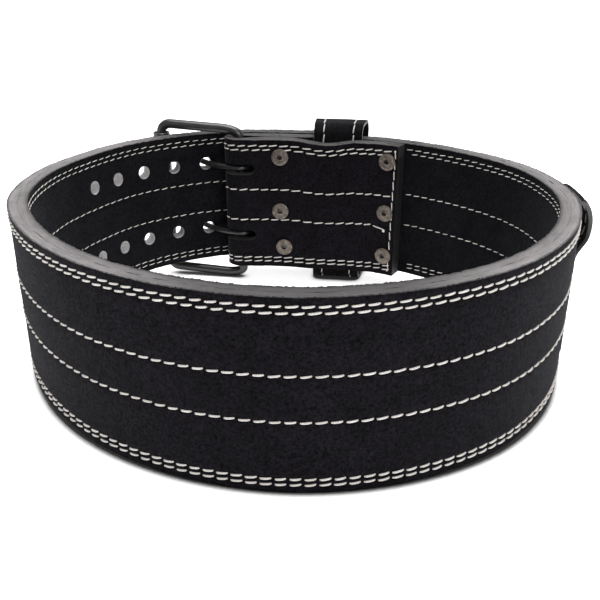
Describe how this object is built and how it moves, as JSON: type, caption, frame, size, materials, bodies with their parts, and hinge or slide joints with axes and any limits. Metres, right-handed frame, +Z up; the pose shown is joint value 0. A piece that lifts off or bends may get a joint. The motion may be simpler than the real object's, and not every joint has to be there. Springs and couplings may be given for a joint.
{
  "type": "weightlifting belt",
  "caption": "Thick double-ply leather lifting belt, fastened into a loop with a roller buckle, prongs, riveted fold-back flap and leather keepers.",
  "frame": {"origin": "under the middle of the belt's box, on the surface that the belt rests on", "axes": "+Z up, -Y towards the front of the loop, buckle at the back on +Y"},
  "size_m": [0.3408, 0.3198, 0.1252],
  "materials": {
    "suede_face": "black suede with a fine nap and off-white stitching, grey cut edge",
    "suede_lining": "black suede, a little darker, grey cut edge",
    "keeper_suede": "thin black suede with two rows of off-white stitching",
    "black_wire": "satin black coated steel",
    "old_brass": "dull antique brass, lightly scratched"
  },
  "bodies": {
    "root": {"strap_outer_ply": "suede_face", "strap_inner_ply": "suede_lining", "buckle_frame": "black_wire", "buckle_roller": "black_wire", "prong_upper": "black_wire", "prong_lower": "black_wire", "keeper_back": "keeper_suede", "keeper_side": "keeper_suede", "rivet_1": "old_brass", "rivet_2": "old_brass", "rivet_3": "old_brass", "rivet_4": "old_brass", "rivet_5": "old_brass", "rivet_6": "old_brass"}
  },
  "joints": []
}
